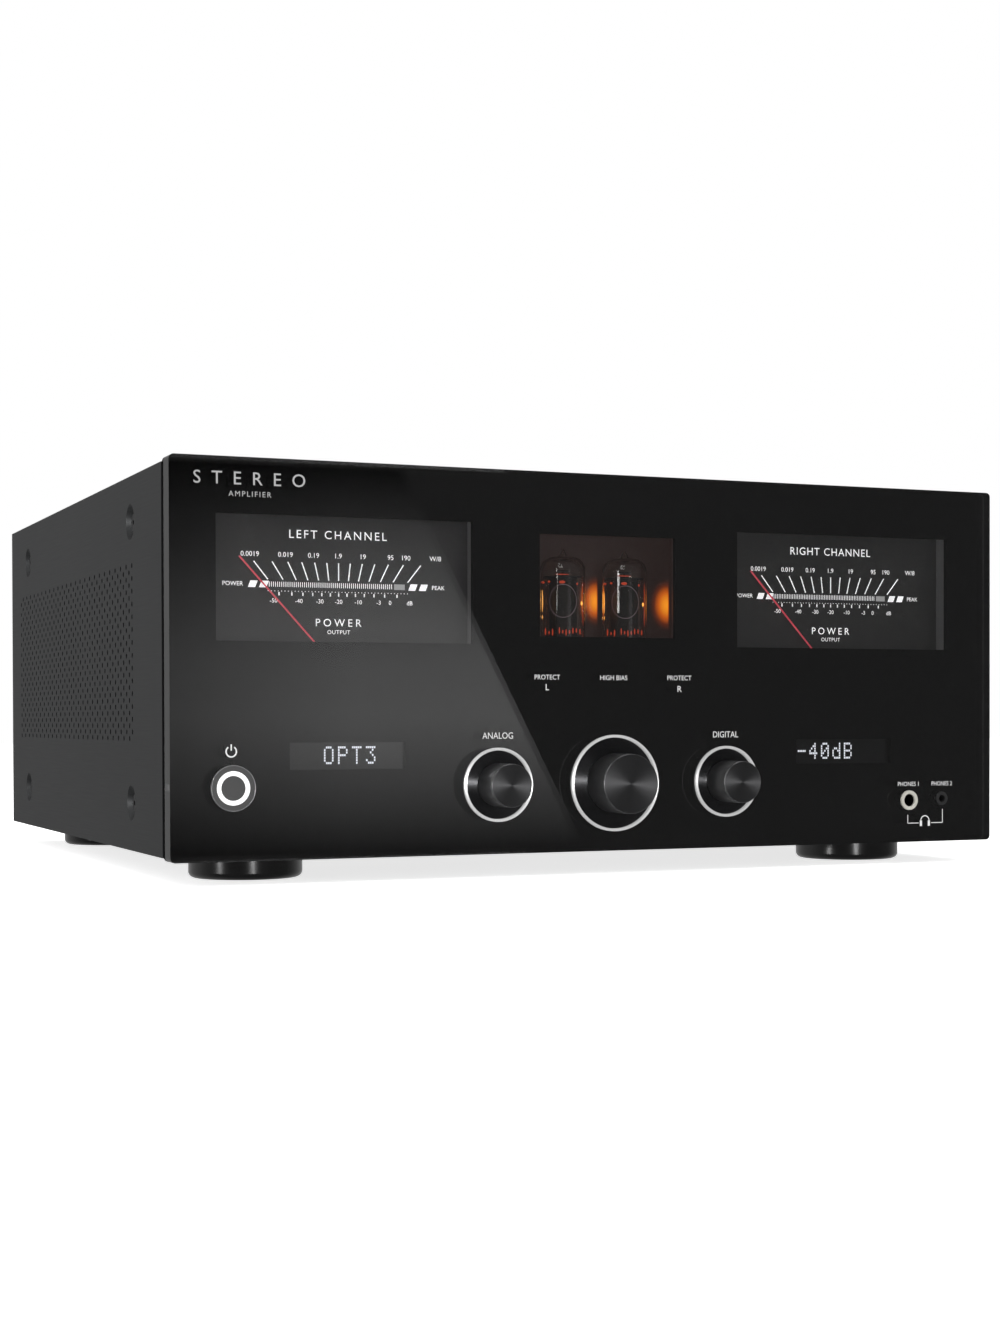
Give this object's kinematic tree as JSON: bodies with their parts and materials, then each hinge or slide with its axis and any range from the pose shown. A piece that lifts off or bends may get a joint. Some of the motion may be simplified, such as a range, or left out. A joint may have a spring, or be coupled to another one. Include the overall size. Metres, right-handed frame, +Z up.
{
  "type": "integrated amplifier",
  "caption": "Full-width stereo amplifier with a glossy front, two needle meters, a lit tube window, three turned knobs and perforated metal sides.",
  "frame": {"origin": "on the floor under the middle of the whole object", "axes": "+X to the right seen from the front, +Y to the back, +Z up"},
  "size_m": [0.43, 0.438, 0.1895],
  "materials": {
    "clear_acrylic": "polished clear acrylic, black behind",
    "black_plate": "black anodised",
    "steel_sheet": "satin black paint",
    "zinc_steel": "zinc plated",
    "dark_anodised": "fine brushed dark grey anodised",
    "rail_aluminium": "mill finish",
    "black_screw": "black oxide",
    "foot_plastic": "black gloss",
    "knob_aluminium": "black anodised, turned",
    "shaft_steel": "bright",
    "ring_chrome": "polished",
    "encoder_metal": "tinned",
    "black_plastic": "satin",
    "light_plastic": "opal, lit white",
    "dial_card": "matt black, white print",
    "needle_red": "red lacquer",
    "display_glass": "smoked",
    "led_lens": "tinted",
    "tube_glass": "clear",
    "tube_metal": "dark nickel",
    "ceramic": "glazed",
    "copper_winding": "wound copper under film",
    "capacitor_can": "sleeved",
    "board_laminate": "solder mask",
    "gold": "gold plated",
    "transparent_cap": "knurled",
    "red_cap": "knurled"
  },
  "bodies": {
    "amplifier": {"front_panel": "clear_acrylic", "backing_plate": "black_plate", "front_bulkhead": "steel_sheet", "chassis_tray": "steel_sheet", "rear_panel": "steel_sheet", "top_cover": "steel_sheet", "left_side_panel": "dark_anodised", "right_side_panel": "dark_anodised", "upper_rails": "rail_aluminium", "side_panel_screws": "black_screw", "case_screws": "black_screw", "feet": "foot_plastic", "foot_screws": "zinc_steel", "knob_rings": "ring_chrome", "knob_dishes": "knob_aluminium", "encoders": "encoder_metal", "power_bezel": "black_plastic", "power_light_ring": "light_plastic", "power_switch": "black_plastic", "large_phones_jack": "ring_chrome", "small_phones_jack": "black_plastic", "meter_cases": "black_plastic", "meter_dials": "dial_card", "meter_movements": "zinc_steel", "display_modules": "display_glass", "indicator_leds": "led_lens", "tube_bay": "steel_sheet", "tube_envelopes": "tube_glass", "tube_electrodes": "tube_metal", "tube_sockets": "ceramic", "toroidal_transformer": "copper_winding", "transformer_clamp": "zinc_steel", "power_capacitors": "capacitor_can", "heatsinks": "dark_anodised", "power_transistors": "black_plastic", "circuit_boards": "board_laminate", "mains_inlet": "black_plastic", "left_minus_collar": "gold", "left_plus_collar": "gold", "right_minus_collar": "gold", "right_plus_collar": "gold", "speaker_bases": "black_plastic", "speaker_posts": "gold", "phono_shells": "gold", "phono_inserts": "black_plastic", "optical_sockets": "black_plastic"},
    "volume_control": {"volume_knob": "knob_aluminium", "volume_shaft": "shaft_steel"},
    "analog_control": {"analog_knob": "knob_aluminium", "analog_shaft": "shaft_steel"},
    "digital_control": {"digital_knob": "knob_aluminium", "digital_shaft": "shaft_steel"},
    "power_key": {"power_button": "black_plastic"},
    "left_pointer": {"left_needle": "needle_red"},
    "right_pointer": {"right_needle": "needle_red"},
    "mains_key": {"mains_rocker": "black_plastic"},
    "left_minus_screw_cap": {"left_minus_cap": "transparent_cap"},
    "left_plus_screw_cap": {"left_plus_cap": "red_cap"},
    "right_minus_screw_cap": {"right_minus_cap": "transparent_cap"},
    "right_plus_screw_cap": {"right_plus_cap": "red_cap"}
  },
  "joints": [
    {"name": "volume_turn", "type": "hinge", "parent": "amplifier", "child": "volume_control", "pos_m": [0, -0.20105, 0.0432], "axis": [0, 1, 0], "continuous": true},
    {"name": "analog_turn", "type": "hinge", "parent": "amplifier", "child": "analog_control", "pos_m": [-0.06015, -0.20105, 0.0432], "axis": [0, 1, 0], "continuous": true},
    {"name": "digital_turn", "type": "hinge", "parent": "amplifier", "child": "digital_control", "pos_m": [0.06015, -0.20105, 0.0432], "axis": [0, 1, 0], "continuous": true},
    {"name": "power_press", "type": "slide", "parent": "amplifier", "child": "power_key", "axis": [0, 1, 0], "range_m": [0, 0.002], "stiffness_N_per_m": 800, "springref_m": -0.002},
    {"name": "left_needle_swing", "type": "hinge", "parent": "amplifier", "child": "left_pointer", "pos_m": [-0.1312, -0.17865, 0.0956], "axis": [0, 1, 0], "range_deg": [0, 84], "stiffness_Nm_per_rad": 0.002, "springref_deg": -17.19},
    {"name": "right_needle_swing", "type": "hinge", "parent": "amplifier", "child": "right_pointer", "pos_m": [0.1312, -0.17865, 0.0956], "axis": [0, 1, 0], "range_deg": [0, 84], "stiffness_Nm_per_rad": 0.002, "springref_deg": -17.19},
    {"name": "mains_rock", "type": "hinge", "parent": "amplifier", "child": "mains_key", "pos_m": [0.167, 0.20245, 0.061], "axis": [1, 0, 0], "range_deg": [-14, 0]},
    {"name": "left_minus_cap_turn", "type": "hinge", "parent": "amplifier", "child": "left_minus_screw_cap", "pos_m": [-0.07952, 0.20345, 0.061], "axis": [0, 1, 0], "range_deg": [0, 1440]},
    {"name": "left_plus_cap_turn", "type": "hinge", "parent": "amplifier", "child": "left_plus_screw_cap", "pos_m": [-0.06048, 0.20345, 0.061], "axis": [0, 1, 0], "range_deg": [0, 1440]},
    {"name": "right_minus_cap_turn", "type": "hinge", "parent": "amplifier", "child": "right_minus_screw_cap", "pos_m": [-0.16953, 0.20345, 0.061], "axis": [0, 1, 0], "range_deg": [0, 1440]},
    {"name": "right_plus_cap_turn", "type": "hinge", "parent": "amplifier", "child": "right_plus_screw_cap", "pos_m": [-0.15047, 0.20345, 0.061], "axis": [0, 1, 0], "range_deg": [0, 1440]}
  ]
}
